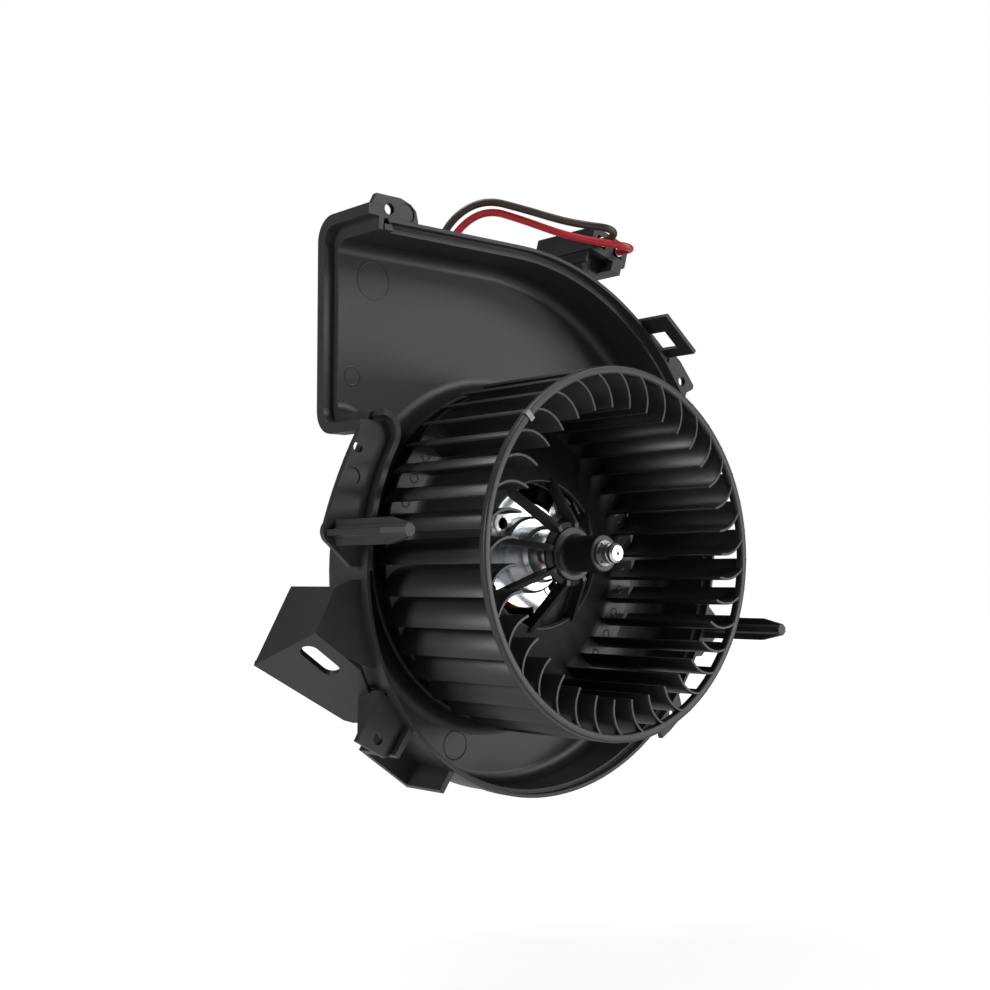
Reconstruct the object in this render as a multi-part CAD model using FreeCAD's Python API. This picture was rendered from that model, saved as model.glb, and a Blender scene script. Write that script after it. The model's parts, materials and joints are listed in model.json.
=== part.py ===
import FreeCAD, Part
import os
from math import asin, atan2, cos, degrees, pi, radians, sin, tan

os.makedirs("parts", exist_ok=True)

# Car cabin blower: a moulded scroll half with its motor and fan wheel
# The wheel turns about the Y axis, and the open side of the scroll faces -Y
# The origin lies on the wheel's axis, in the plane of the scroll's open rim

# Fan wheel
wheel_radius = 75.0
wheel_front = -54.0
wheel_disc_inset = 3.8
wheel_disc_radius = wheel_radius - wheel_disc_inset
wheel_disc_front = 10.8
wheel_disc_thickness = 2.0
ring_wall = 3.5
ring_length = 3.0
blade_count = 37
blade_thickness = 1.1
blade_depth = 17.0
blade_inner_radius = wheel_radius - blade_depth
blade_straight = 2.5
blade_bend_radius = 13.5
blade_bend_angle = 68.0
blade_phase = 136.35
bowl_opening_radius = 31.3
bowl_opening_front = -5.0
bowl_shoulder = 1.0
bowl_wall = 1.8
bowl_fillet = 9.0
spoke_count = 8
spoke_phase = 78.5
spoke_width = 2.5
spoke_depth = 4.0
hub_flange_radius = 11.2
hub_skirt = 2.2
hub_edge = 1.6
spoke_shelf = 0.8
hub_flange_front = -24.0
hub_flange_thickness = 3.0
boss_radius = 7.5
boss_front = -41.4

# Shaft and what sits on it
shaft_radius = 4.0
shaft_front = -49.0
shaft_back = 76.8
shaft_chamfer = 0.95
shaft_groove = (-46.6, -45.8)
shaft_groove_depth = 0.3
shaft_centre_mark = 0.9
press_clearance = 0.02
running_clearance = 0.05
clip_radius = 5.4
clip_thickness = 0.6
clip_slots = 6
clip_slot_width = 0.8
clip_slot_depth = 0.7
washer_radius = 6.4
washer_thickness = 0.8

# Motor
can_radius = 38.0
can_wall = 1.5
can_front = 5.0
can_back = 73.0
shield_thickness = 1.5
shield_step_radius = 16.5
shield_nose_radius = 12.0
shield_step_front = 0.5
shield_nose_front = -7.0
ear_hole_radius = 2.6
ear_circle_radius = 19.3
ear_angle = 137.5
bearing_radius = 7.0
bearing_length = 8.0
bearing_taper = 1.2
retainer_thickness = 0.8
washer_gap = 0.25
pocket_depth = 6.0
ear_radius = 4.6
window_half = 22.0
window_inner = 22.5
window_outer = 31.0
stake_depth = 0.8
stake_width = 4.0
magnet_thickness = 9.0
magnet_span = 128.0
magnet_length = 38.0
magnet_front = 12.0
air_gap = 0.7
core_length = 30.0
core_slots = 12
core_slot_width = 2.4
core_slot_depth = 8.0
winding_overhang = 6.0
commutator_radius = 11.0
commutator_length = 13.0
commutator_bars = 12
commutator_gap = 0.6
brush_width = 5.0
brush_length = 12.0
brush_travel = 4.0
brush_clearance = 0.3
brush_gap = 0.3
holder_wall = 0.8
spring_radius = 2.0
spring_wire = 0.3
spring_turns = 4.0
spring_gap = 0.1
card_thickness = 2.5
isolator_front = 30.0
isolator_length = 9.0

# Balance clip on the front ring
balance_thickness = 0.4
balance_width = 2.5
balance_reach = 2.0

# Scroll: three arcs about corners of a square whose side is the growth, and the tongue's arc
air_first_radius = 92.67
air_growth = 13.9
air_top = air_growth / 2.0 + air_first_radius + 2.0 * air_growth
wall = 2.5
lip_step = 2.93
lip_first_radius = air_first_radius + lip_step
lip_growth_step = 0.8
lip_growth = air_growth + lip_growth_step
lip_thickness = 1.5
lip_depth = 3.5
ledge_thickness = 2.5
nose_inset = 11.77
nose_centre_x = nose_inset - air_first_radius
nose_centre_z = 47.3
nose_radius = 9.0
floor_depth = 28.0
floor_thickness = 2.5
floor_fillet = 5.0
back_fillet = 7.0
collar_radius = 70.5
collar_lip = 18.5
collar_wall = 2.0
collar_foot_fillet = 6.0
well_floor = 25.5
cup_radius = 47.0
cup_wall = 3.0
cup_back = 84.0
cup_fillet = 8.0
cup_rib_count = 6
cup_rib_length = 22.0
cup_rib_reach = 18.0
cup_rib_width = 2.2
cup_rib_phase = 30.0
cup_vent_count = 10
cup_vent_phase = 18.0
cup_vent_inner = 24.0
cup_vent_outer = 36.0
cup_vent_width = 4.4

# Outlet collar at the left end of the scroll
outlet_reach = 7.1
outlet_socket = 5.0
outlet_length = 7.5
outlet_rise = 9.78
outlet_sill = 0.5
outlet_face = nose_centre_x - outlet_reach
outlet_step = outlet_face + outlet_socket
outlet_back = outlet_face + outlet_length
outlet_top = air_top + outlet_rise
outlet_bottom = nose_centre_z + outlet_sill
outlet_depth = 35.5
outlet_wall = 4.5
outlet_low_front = 7.0
outlet_corner = 10.0
rim_inset = 8.8
rim_corner = outlet_face + rim_inset

# Tabs, guides, latches and bracket on the outside. Their corners are measured from the lip's outer
# edge at the angle given here, and the upper tab's from the outlet's face and the passage's top
right_tab_angle = 40.0
lower_tab_angle = 222.0
hidden_tab_angle = 320.0
guide_tab_angle = 343.0
left_plate_angle = 180.0
bracket_angle = 202.0
tab_face = 4.0
tab_thickness = 2.4
tab_hole_radius = 2.3
dimple_depth = 0.5
upper_tab_corners = [(4.0, 0.58), (4.0, 10.78), (6.4, 15.38), (18.6, 15.28), (23.5, 13.58),
                     (26.4, 11.18), (27.4, 7.08), (27.4, 0.58)]
upper_tab_hole = (12.8, 9.98)
upper_tab_dimple = (21.5, 9.48)
upper_dimple_radius = 4.0
right_tab_corners = [(-8.7324, 0.51), (-2.7324, 18.51), (3.7676, 14.11), (13.1676, 3.31),
                     (12.5676, 1.31), (8.1676, -0.59), (4.2676, -9.49)]
right_tab_hole = (4.7676, 4.51)
lower_tab_corners = [(6.2203, 5.2267), (-8.9797, 8.0267), (-19.3797, -9.6733), (-5.7797, -17.0733),
                     (-3.7797, -16.5733), (0.9203, -8.6733), (10.2203, -2.7733)]
lower_tab_hole = (-9.2797, -9.3733)
gusset_depth = 13.0
gusset_front = [(-5.7797, 9.2267), (-8.2797, 9.2267), (-19.3797, -9.6733), (-17.3797, -10.7733)]
gusset_back = [(-5.7797, 9.2267), (-8.2797, 9.2267), (-9.7797, 6.6267), (-7.7797, 5.5267)]
hidden_tab_corners = [(-6.8155, 5.1687), (-0.8155, -12.8313), (5.1845, -9.3313), (12.6845, -3.8313),
                      (12.6845, 2.1687), (8.1845, 15.1687)]
hidden_tab_hole = (6.3845, -1.4313)
guide_tab_corners = [(-5.7813, 13.5635), (6.2187, 11.5635), (12.2187, 6.5635), (12.2187, -5.4365),
                     (2.2187, -13.4365), (-9.7813, -13.4365)]
plate_edge = [(-1.033, 48.2), (-9.833, 30.0), (-16.633, 11.0), (-17.833, 6.8), (-15.233, 3.2)]
plate_corners = [(-5.333, -5.6), (7.967, -5.6), (13.967, 52.0), (-1.033, 52.0)]
plate_hole = (-1.933, 40.9)
plate_hole_radius = 2.2
plate_dimple = (-4.233, 29.4)
plate_dimple_radius = 3.4
guide_left = (-11.333, 7.3)
guide_right = (5.9187, 0.1635)
guide_tip = -41.0
guide_taper = 11.0
guide_half_width = 5.0
guide_tip_radius = 2.5
guide_fin = 2.3
latch_angle = 52.0
latch_gap = 3.16
latch_thickness = 2.0
latch_width = 24.5
latch_front = -13.0
latch_back = 7.0
latch_bar = 7.0
latch_left_leg = 5.0
latch_right_leg = 8.6
latch_window_back = 4.0
latch_foot = 3.5
latch_foot_root = 8.0
catch_angle = 235.0
catch_gap = 10.14
catch_width = 30.0
catch_depth = 25.0
catch_rib = 2.6
catch_root = 15.0
bracket_wall = 2.4
bracket_top = (-15.472, 20.8111)
bracket_bend = (-24.872, 3.3111)
bracket_inner = (-12.172, -5.4889)
bracket_root = (0.028, -10.7889)
bracket_web_corners = [(-8.272, 23.4111), (1.428, 23.4111), (6.428, -10.8889)]
bracket_deep_top = (-15.472, 35.2, 20.8111)
bracket_deep_bend = (-31.972, 35.8, -9.9889)
bracket_shelf_corners = [(6.628, 29.7, -33.2889), (9.928, 27.7, -34.3889), (16.428, 25.2, -29.8889),
                         (8.428, 13.1, -16.8889), (-1.572, 6.0, -8.8889)]
slot_centre = (-16.322, 13.1, -7.7889)
slot_left = (-20.972, 13.0, -4.4889)
slot_right = (-11.672, 13.2, -11.0889)
slot_half_width = 3.9
slot_length = 19.2

# Connector and leads
connector_angle = 70.0
connector_centre = (8.6666, 20.6445)
connector_front = 6.0
connector_length = 38.0
connector_width = 23.0
connector_height = 11.0
connector_tilt = 16.0
connector_wall = 1.6
socket_depth = 16.0
rail_reach = 9.5
rail_wall = 1.6
rail_block = 6.0
rail_depth = 4.5
rail_length = 30.0
rail_setback = 4.0
rail_clearance = 0.1
holder_setback = 8.0
holder_head_length = 20.0
holder_stem = (-6.5, -2.5)
holder_stem_length = 16.0
holder_stem_height = 26.0
terminal_places = [(-5.5, 0.0), (5.5, 0.0)]
terminal_width = 4.8
terminal_thickness = 0.8
terminal_clearance = 0.05
cavity_half_width = 2.9
cavity_half_height = 2.5
cavity_depth = 8.0
crimp_wall = 0.5
crimp_length = 5.3
lead_radius = 1.7
grommet_centre = (-3.6, 68.0)
grommet_neck_length = 14.0
grommet_neck_width = 6.6
grommet_flange = 1.6
grommet_clearance = 0.05


def vec(x, y, z):
    return FreeCAD.Vector(x, y, z)


axis_y = vec(0, 1, 0)
origin = vec(0, 0, 0)


def save(name, shape):
    shape.exportStep("parts/" + name + ".step")
    print("%-24s %2d solid  %9.1f mm3  valid %s" % (name, len(shape.Solids), shape.Volume, shape.isValid()))


def polar(radius, angle, y=0.0, centre=(0.0, 0.0)):
    # A point in a plane of constant y; the angle runs from +X towards +Z
    return vec(centre[0] + radius * cos(radians(angle)), y, centre[1] + radius * sin(radians(angle)))


def arc(centre, radius, start, end):
    points = [polar(radius, a, 0.0, centre) for a in (start, (start + end) / 2.0, end)]
    return Part.Arc(points[0], points[1], points[2]).toShape()


def line(a, b):
    return Part.LineSegment(a, b).toShape()


def polygon(points):
    return Part.makePolygon(points + [points[0]])


def flat(points):
    # Closed outline from (x, z) pairs in the rim's plane
    return polygon([vec(x, 0, z) for x, z in points])


def slab(wire, y0, y1):
    face = Part.Face(wire)
    face.translate(vec(0, y0, 0))
    return face.extrude(vec(0, y1 - y0, 0))


def turned(points):
    # Closed outline of (radius, y) pairs, turned about the wheel's axis
    face = Part.Face(polygon([vec(r, y, 0) for r, y in points]))
    return face.revolve(origin, axis_y, 360)


def disc(radius, y0, y1, x=0.0, z=0.0):
    return Part.makeCylinder(radius, y1 - y0, vec(x, y0, z), axis_y)


def tube(outer, inner, y0, y1, x=0.0, z=0.0):
    return disc(outer, y0, y1, x, z).cut(disc(inner, y0 - 1, y1 + 1, x, z))


def box(x0, x1, y0, y1, z0, z1):
    return Part.makeBox(x1 - x0, y1 - y0, z1 - z0, vec(x0, y0, z0))


def rounded(points, radii):
    # Closed outline through the points, each corner replaced by an arc of its own radius
    edges = []
    ends = []
    count = len(points)
    for i, corner in enumerate(points):
        into = (corner - points[i - 1]).normalize()
        out = (points[(i + 1) % count] - corner).normalize()
        turn = into.getAngle(out)
        reach = radii[i] * tan(turn / 2.0)
        start, end = corner - into * reach, corner + out * reach
        if radii[i] > 0:
            middle = corner + (out - into).normalize() * (radii[i] / cos(turn / 2.0) - radii[i])
            edges.append(Part.Arc(start, middle, end).toShape())
        ends.append((start, end))
    for i in range(count):
        start, end = ends[i - 1][1], ends[i][0]
        if (end - start).Length > 0.001:
            edges.append(line(start, end))
    return Part.Wire(Part.__sortEdges__(edges))


def revolved(wire):
    return Part.Face(wire).revolve(origin, axis_y, 360)


def turn_about_axis(shape, angle):
    # Positive angles turn from +X towards +Z
    turned_copy = shape.copy()
    turned_copy.rotate(origin, axis_y, -angle)
    return turned_copy


def joined(shapes):
    whole = shapes[0].multiFuse(shapes[1:])
    return whole.removeSplitter()


def scroll_outline(first_radius, growth, tongue_radius, left_end):
    # Closed outline of the air passage, or of a surface parallel to it
    half = growth / 2.0
    reach = first_radius - half + tongue_radius
    rise = nose_centre_z + half
    tongue_x = (nose_centre_x ** 2 + rise ** 2 - reach ** 2) / (2.0 * (reach + nose_centre_x))
    tongue_arc_radius = tongue_x + first_radius - half
    lean = degrees(atan2(-half - nose_centre_z, tongue_x - nose_centre_x))
    bottom = nose_centre_z + tongue_radius
    top = half + first_radius + 2.0 * growth
    return Part.Wire([
        line(vec(left_end, 0, bottom), vec(nose_centre_x, 0, bottom)),
        arc((nose_centre_x, nose_centre_z), tongue_radius, 90.0, lean),
        arc((tongue_x, -half), tongue_arc_radius, 180.0 + lean, 180.0),
        arc((half, -half), first_radius, 180.0, 270.0),
        arc((half, half), first_radius + growth, 270.0, 360.0),
        arc((-half, half), first_radius + 2.0 * growth, 0.0, 90.0),
        line(vec(-half, 0, top), vec(left_end, 0, top)),
        line(vec(left_end, 0, top), vec(left_end, 0, bottom)),
    ])


def sector_outline(first_radius, growth, left_end):
    # The same arcs and straight top, closed through the axis and without the tongue
    half = growth / 2.0
    top = half + first_radius + 2.0 * growth
    return Part.Wire([
        line(vec(0, 0, 0), vec(half - first_radius, 0, -half)),
        arc((half, -half), first_radius, 180.0, 270.0),
        arc((half, half), first_radius + growth, 270.0, 360.0),
        arc((-half, half), first_radius + 2.0 * growth, 0.0, 90.0),
        line(vec(-half, 0, top), vec(left_end, 0, top)),
        line(vec(left_end, 0, top), vec(0, 0, 0)),
    ])


def edges_at(shape, y, keep):
    found = []
    for edge in shape.Edges:
        reach = edge.BoundBox
        if abs(reach.YMin - y) < 0.01 and abs(reach.YMax - y) < 0.01 and keep(edge):
            found.append(edge)
    return found


back_of_floor = floor_depth + floor_thickness


def air_passage():
    left = outlet_face - 10.0
    passage = slab(scroll_outline(air_first_radius, air_growth, nose_radius, left), -1.0, floor_depth)
    corner = edges_at(passage, floor_depth, lambda e: e.BoundBox.XMax > left + 0.1)
    return passage.makeFillet(floor_fillet, corner)


def scroll_shell():
    shell = slab(scroll_outline(air_first_radius + wall, air_growth, nose_radius - wall, outlet_back),
                 0.0, back_of_floor)
    corner = edges_at(shell, back_of_floor, lambda e: e.BoundBox.XMax > outlet_back + 0.1)
    return shell.makeFillet(back_fillet, corner)


def outlet_collar():
    def u_outline(inset, front):
        top, bottom = outlet_top - inset, outlet_bottom + inset
        deep = outlet_depth - inset
        r = outlet_corner - 0.8 * inset
        k = r * (1.0 - cos(radians(45.0)))
        x = outlet_face
        points = [vec(x, front, top), vec(x, deep - r, top), vec(x, deep, top - r),
                  vec(x, deep, bottom + r), vec(x, deep - r, bottom), vec(x, front, bottom)]
        return Part.Wire([
            line(points[0], points[1]),
            Part.Arc(points[1], vec(x, deep - k, top - k), points[2]).toShape(),
            line(points[2], points[3]),
            Part.Arc(points[3], vec(x, deep - k, bottom + k), points[4]).toShape(),
            line(points[4], points[5]),
            line(points[5], points[0]),
        ])
    block = Part.Face(u_outline(0.0, 0.5)).extrude(vec(outlet_back - outlet_face, 0, 0))
    socket = Part.Face(u_outline(outlet_wall, -1.0)).extrude(vec(outlet_step - outlet_face, 0, 0))
    low_end = box(outlet_face - 1, outlet_back + 1, -1.0, outlet_low_front,
                  outlet_bottom - 1, nose_centre_z + nose_radius)
    return block.cut(low_end), socket


def motor_well():
    # Raised collar in the floor, the well inside it and the cup behind
    f = collar_foot_fillet
    outside = collar_radius + collar_wall
    bend = [outside + f * (1.0 - cos(radians(45))), floor_depth - f + f * sin(radians(45))]
    outline = Part.Wire([
        line(vec(collar_radius, back_of_floor, 0), vec(collar_radius, collar_lip + 0.5, 0)),
        line(vec(collar_radius, collar_lip + 0.5, 0), vec(collar_radius + 0.5, collar_lip, 0)),
        line(vec(collar_radius + 0.5, collar_lip, 0), vec(outside - 0.5, collar_lip, 0)),
        line(vec(outside - 0.5, collar_lip, 0), vec(outside, collar_lip + 0.5, 0)),
        line(vec(outside, collar_lip + 0.5, 0), vec(outside, floor_depth - f, 0)),
        Part.Arc(vec(outside, floor_depth - f, 0), vec(bend[0], bend[1], 0),
                 vec(outside + f, floor_depth, 0)).toShape(),
        line(vec(outside + f, floor_depth, 0), vec(outside + f, back_of_floor, 0)),
        line(vec(outside + f, back_of_floor, 0), vec(collar_radius, back_of_floor, 0)),
    ])
    collar = Part.Face(outline).revolve(origin, axis_y, 360)
    floor = turned([(cup_radius, well_floor), (collar_radius + 1.0, well_floor),
                    (collar_radius + 1.0, back_of_floor), (cup_radius, back_of_floor)])
    outer = cup_radius + cup_wall
    inside = cup_radius
    c = cup_fillet
    d = cup_fillet - cup_wall
    inner_back = cup_back - cup_wall
    s = sin(radians(45))
    cup_outline = Part.Wire([
        line(vec(inside, well_floor, 0), vec(outer, well_floor, 0)),
        line(vec(outer, well_floor, 0), vec(outer, cup_back - c, 0)),
        Part.Arc(vec(outer, cup_back - c, 0), vec(outer - c + c * s, cup_back - c + c * s, 0),
                 vec(outer - c, cup_back, 0)).toShape(),
        line(vec(outer - c, cup_back, 0), vec(0, cup_back, 0)),
        line(vec(0, cup_back, 0), vec(0, inner_back, 0)),
        line(vec(0, inner_back, 0), vec(inside - d, inner_back, 0)),
        Part.Arc(vec(inside - d, inner_back, 0), vec(inside - d + d * s, inner_back - d + d * s, 0),
                 vec(inside, inner_back - d, 0)).toShape(),
        line(vec(inside, inner_back - d, 0), vec(inside, well_floor, 0)),
    ])
    cup = Part.Face(cup_outline).revolve(origin, axis_y, 360)
    return [collar, floor, cup]


def cup_ribs():
    # Gussets between the back of the floor and the cup
    outer = cup_radius + cup_wall
    h = cup_rib_width / 2.0
    rib = Part.Face(polygon([
        vec(outer - 1.0, back_of_floor - 1.0, -h), vec(outer + cup_rib_reach, back_of_floor - 1.0, -h),
        vec(outer + cup_rib_reach, back_of_floor + 2.0, -h), vec(outer, back_of_floor + cup_rib_length, -h),
        vec(outer - 1.0, back_of_floor + cup_rib_length, -h)])).extrude(vec(0, 0, cup_rib_width))
    return [turn_about_axis(rib, cup_rib_phase + i * 360.0 / cup_rib_count) for i in range(cup_rib_count)]


def tab(points, holes):
    plate = slab(flat(points), tab_face, tab_face + tab_thickness)
    for x, z in holes:
        plate = plate.cut(disc(tab_hole_radius, tab_face - 1, tab_face + tab_thickness + 1, x, z))
    return plate


def guide(x, z):
    # Cross-shaped guide post with a tapered tip
    shoulder = guide_tip + guide_taper
    root = tab_face + tab_thickness
    w, t, h = guide_half_width, guide_tip_radius, guide_fin / 2.0
    outline = [(-w, root), (w, root), (w, shoulder), (t, guide_tip), (-t, guide_tip), (-w, shoulder)]
    upright = Part.Face(polygon([vec(-h, y, s) for s, y in outline])).extrude(vec(2 * h, 0, 0))
    level = Part.Face(polygon([vec(s, y, -h) for s, y in outline])).extrude(vec(0, 0, 2 * h))
    post = joined([upright, level, disc(t, guide_tip, root)])
    post.translate(vec(x, 0, z))
    return post


def outside_reach(angle, radius, centre):
    # Distance from the axis, along the angle, to one of the scroll's arcs
    u, v = cos(radians(angle)), sin(radians(angle))
    across = centre[1] * u - centre[0] * v
    return centre[0] * u + centre[1] * v + (radius ** 2 - across ** 2) ** 0.5


def lip_place(angle):
    # Where the lip's outer edge lies at an angle from the axis, on the arc of that quarter
    half = lip_growth / 2.0
    quarter = int(angle // 90)
    turns, centre = {2: (0, (half, -half)), 3: (1, (half, half)), 0: (2, (-half, half))}[quarter]
    return polar(outside_reach(angle, lip_first_radius + turns * lip_growth, centre), angle)


def moved(shapes, place):
    for shape in shapes:
        shape.translate(place)
    return shapes


def loop_latch():
    # A springy loop that reaches past the rim to catch the other scroll half
    offset = lip_growth / 2.0
    rim = outside_reach(latch_angle, lip_first_radius + 2.0 * lip_growth, (-offset, offset))
    inner = rim + latch_gap
    outer = inner + latch_thickness
    half = latch_width / 2.0
    frame = box(inner, outer, latch_front, latch_back, -half, half)
    window = box(inner - 1, outer + 1, latch_front + latch_bar, latch_window_back,
                 -half + latch_left_leg, half - latch_right_leg)
    foot = box(rim - latch_foot_root, inner + latch_thickness / 2.0, latch_back - latch_foot, latch_back,
               -half, half)
    return [turn_about_axis(frame.cut(window), latch_angle), turn_about_axis(foot, latch_angle)]


def catch():
    # Two ribs and a bar on the outside of the wall, hooked by the other half
    offset = lip_growth / 2.0
    outer = outside_reach(catch_angle, lip_first_radius, (offset, -offset)) + catch_gap
    half = catch_width / 2.0
    root = outer - catch_root
    ribs = [box(root, outer, 1.0, catch_depth, side, side + catch_rib) for side in (-half, half - catch_rib)]
    bar = box(root, outer, catch_depth - catch_rib, catch_depth, -half, half)
    return [turn_about_axis(s, catch_angle) for s in ribs + [bar]]


def plate_from(points, thickness, towards):
    # Flat plate through the first three corners, thickened towards the given side
    a, b, c = points[:3]
    normal = (b - a).cross(c - b).normalize()
    level = [p - normal * normal.dot(p - a) for p in points]
    if normal.dot(towards) < 0:
        normal = normal * -1.0
    return Part.Face(polygon(level)).extrude(normal * thickness)


def at_depth(point, y):
    return vec(point[0], y, point[1])


def bracket():
    # Three plates: a web level with the tabs, a side wall, and a sloping plate with the slot
    web = [bracket_top] + bracket_web_corners + [bracket_root, bracket_inner, bracket_bend]
    top, bend, inner = [at_depth(p, tab_face) for p in (bracket_top, bracket_bend, bracket_inner)]
    deep_top, deep_bend = vec(*bracket_deep_top), vec(*bracket_deep_bend)
    side = plate_from([bend, top, deep_top, deep_bend], bracket_wall, vec(1, 0, -0.5))
    across = (inner - bend).normalize()
    normal = (deep_bend - bend).cross(across).normalize()
    if normal.x > 0:
        normal = normal * -1.0
    shelf = plate_from([inner, bend, deep_bend] + [vec(*p) for p in bracket_shelf_corners],
                       bracket_wall, vec(0.5, 0.4, 0.7))
    centre = vec(*slot_centre)
    centre = centre - normal * normal.dot(centre - bend)
    run = slot_length / 2.0 - slot_half_width
    slide = (vec(*slot_right) - vec(*slot_left)).normalize()
    slide = (slide - normal * normal.dot(slide)).normalize()
    side_step = normal.cross(slide).normalize() * slot_half_width
    ends = [centre - slide * run, centre + slide * run]
    through = 5.0 * bracket_wall
    start = normal * (-through / 2.0)
    cutters = [Part.makeCylinder(slot_half_width, through, e + start, normal) for e in ends]
    middle = Part.Face(polygon([ends[0] - side_step, ends[1] - side_step,
                                ends[1] + side_step, ends[0] + side_step]))
    middle.translate(start)
    cutters.append(middle.extrude(normal * through))
    return [slab(flat(web), tab_face, tab_face + bracket_wall), side, shelf.cut(cutters)]


def left_plate():
    # Plate level with the tabs at the left, with its curved outer edge
    edge = [at_depth(p, 0.0) for p in plate_edge]
    corners = [at_depth(p, 0.0) for p in plate_corners]
    around = [edge[4]] + corners + [edge[0]]
    outline = Part.Wire([Part.Arc(edge[0], edge[1], edge[2]).toShape(),
                         Part.Arc(edge[2], edge[3], edge[4]).toShape()]
                        + [line(a, b) for a, b in zip(around, around[1:])])
    plate = slab(outline, tab_face, tab_face + tab_thickness)
    return plate.cut([dimple(plate_dimple_radius, plate_dimple),
                      disc(plate_hole_radius, tab_face - 1, tab_face + tab_thickness + 1, *plate_hole)])


def dimple(radius, place):
    return disc(radius, tab_face - 1, tab_face + dimple_depth, *place)


def tab_gusset():
    # Side wall of the lower tab, deepest where it meets the scroll
    low = polygon([at_depth(p, tab_face) for p in gusset_front])
    high = polygon([at_depth(p, tab_face + gusset_depth) for p in gusset_back])
    return Part.makeLoft([low, high], True, True)


def outside_pieces():
    upper = tab(upper_tab_corners, [upper_tab_hole]).cut(dimple(upper_dimple_radius, upper_tab_dimple))
    right = tab(right_tab_corners, [right_tab_hole])
    lower = [tab(lower_tab_corners, [lower_tab_hole]), tab_gusset()]
    hidden = tab(hidden_tab_corners, [hidden_tab_hole])
    return (moved([upper], vec(outlet_face, 0, air_top)) + moved([right], lip_place(right_tab_angle))
            + moved(lower, lip_place(lower_tab_angle)) + moved([hidden], lip_place(hidden_tab_angle))
            + moved([tab(guide_tab_corners, [])], lip_place(guide_tab_angle))
            + moved([left_plate()], lip_place(left_plate_angle)) + loop_latch() + catch()
            + moved(bracket(), lip_place(bracket_angle)) + connector_holder())


def scroll_housing():
    collar_block, socket = outlet_collar()
    lip = slab(sector_outline(lip_first_radius, lip_growth, rim_corner), 0.0, lip_depth + ledge_thickness)
    body = joined([scroll_shell(), lip, collar_block] + outside_pieces())
    recess = slab(sector_outline(lip_first_radius - lip_thickness, lip_growth, rim_corner + lip_thickness),
                  -1.0, lip_depth)
    body = body.cut([recess, air_passage(), socket, disc(collar_radius, -5.0, back_of_floor + 1.0)])
    guides = (moved([guide(*guide_left)], lip_place(left_plate_angle))
              + moved([guide(*guide_right)], lip_place(guide_tab_angle)))
    body = joined([body] + guides + motor_well() + cup_ribs())
    half = cup_vent_width / 2.0
    vent = box(cup_vent_inner, cup_vent_outer, cup_back - cup_wall - 1.0, cup_back + 1.0, -half, half)
    pitch = 360.0 / cup_vent_count
    vents = [turn_about_axis(vent, cup_vent_phase + i * pitch) for i in range(cup_vent_count)]
    x, y = grommet_centre
    window = stadium(grommet_neck_length, grommet_neck_width, x, y,
                     cup_radius - 6.0, cup_radius + cup_wall + 3.0)
    return body.cut([window] + vents)


def stadium(length, width, x, y, z0, z1):
    # Block with rounded ends, long along X and raised along Z
    r = width / 2.0
    half = length / 2.0 - r
    middle = box(x - half, x + half, y - r, y + r, z0, z1)
    ends = [Part.makeCylinder(r, z1 - z0, vec(x + s * half, y, z0), vec(0, 0, 1)) for s in (-1, 1)]
    return middle.multiFuse(ends).removeSplitter()


def lead_grommet():
    # Two flanges and a neck that fill the window in the cup's wall
    x, y = grommet_centre
    outer, inner = cup_radius + cup_wall, cup_radius
    low, high = inner - 6.0, outer + 3.0
    flange = stadium(grommet_neck_length + 4.0, grommet_neck_width + 4.0, x, y, low, high)
    neck = stadium(grommet_neck_length - 2 * grommet_clearance, grommet_neck_width - 2 * grommet_clearance,
                   x, y, low, high)
    outer_flange = flange.common(tube(outer + grommet_flange, outer + grommet_clearance, y - 20, y + 20))
    inner_flange = flange.common(tube(inner - grommet_clearance, inner - grommet_flange, y - 20, y + 20))
    middle = neck.common(tube(outer + grommet_flange, inner - grommet_flange, y - 20, y + 20))
    bores = [Part.makeCylinder(lead_radius + 0.05, 20.0, vec(route[1].x, y, low - 1.0), vec(0, 0, 1))
             for route in (brown_route, red_route)]
    return joined([outer_flange, inner_flange, middle]).cut(bores)


def blade():
    # Forward-curved blade: a short radial run, then an arc that meets the ring almost at a tangent
    t = blade_thickness / 2.0
    start = blade_inner_radius + blade_straight
    r = blade_bend_radius

    def on_arc(radius, angle):
        return vec(start + radius * sin(radians(angle)), 0, r - radius * cos(radians(angle)))
    angles = (0.0, blade_bend_angle / 2.0, blade_bend_angle)
    low = [on_arc(r + t, a) for a in angles]
    high = [on_arc(r - t, a) for a in angles]
    outline = Part.Wire([
        line(vec(blade_inner_radius, 0, -t), low[0]),
        Part.Arc(low[0], low[1], low[2]).toShape(),
        line(low[2], high[2]),
        Part.Arc(high[2], high[1], high[0]).toShape(),
        line(high[0], vec(blade_inner_radius, 0, t)),
        line(vec(blade_inner_radius, 0, t), vec(blade_inner_radius, 0, -t)),
    ])
    return slab(outline, wheel_front + 0.5, wheel_disc_front + 0.5)


def wheel_ring():
    inner, outer = wheel_radius - ring_wall, wheel_radius
    back = wheel_front + ring_length
    return revolved(rounded([vec(inner, wheel_front, 0), vec(outer, wheel_front, 0), vec(outer, back, 0),
                             vec(inner, back, 0)], [1.1, 0.8, 0.0, 0.0]))


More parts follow.
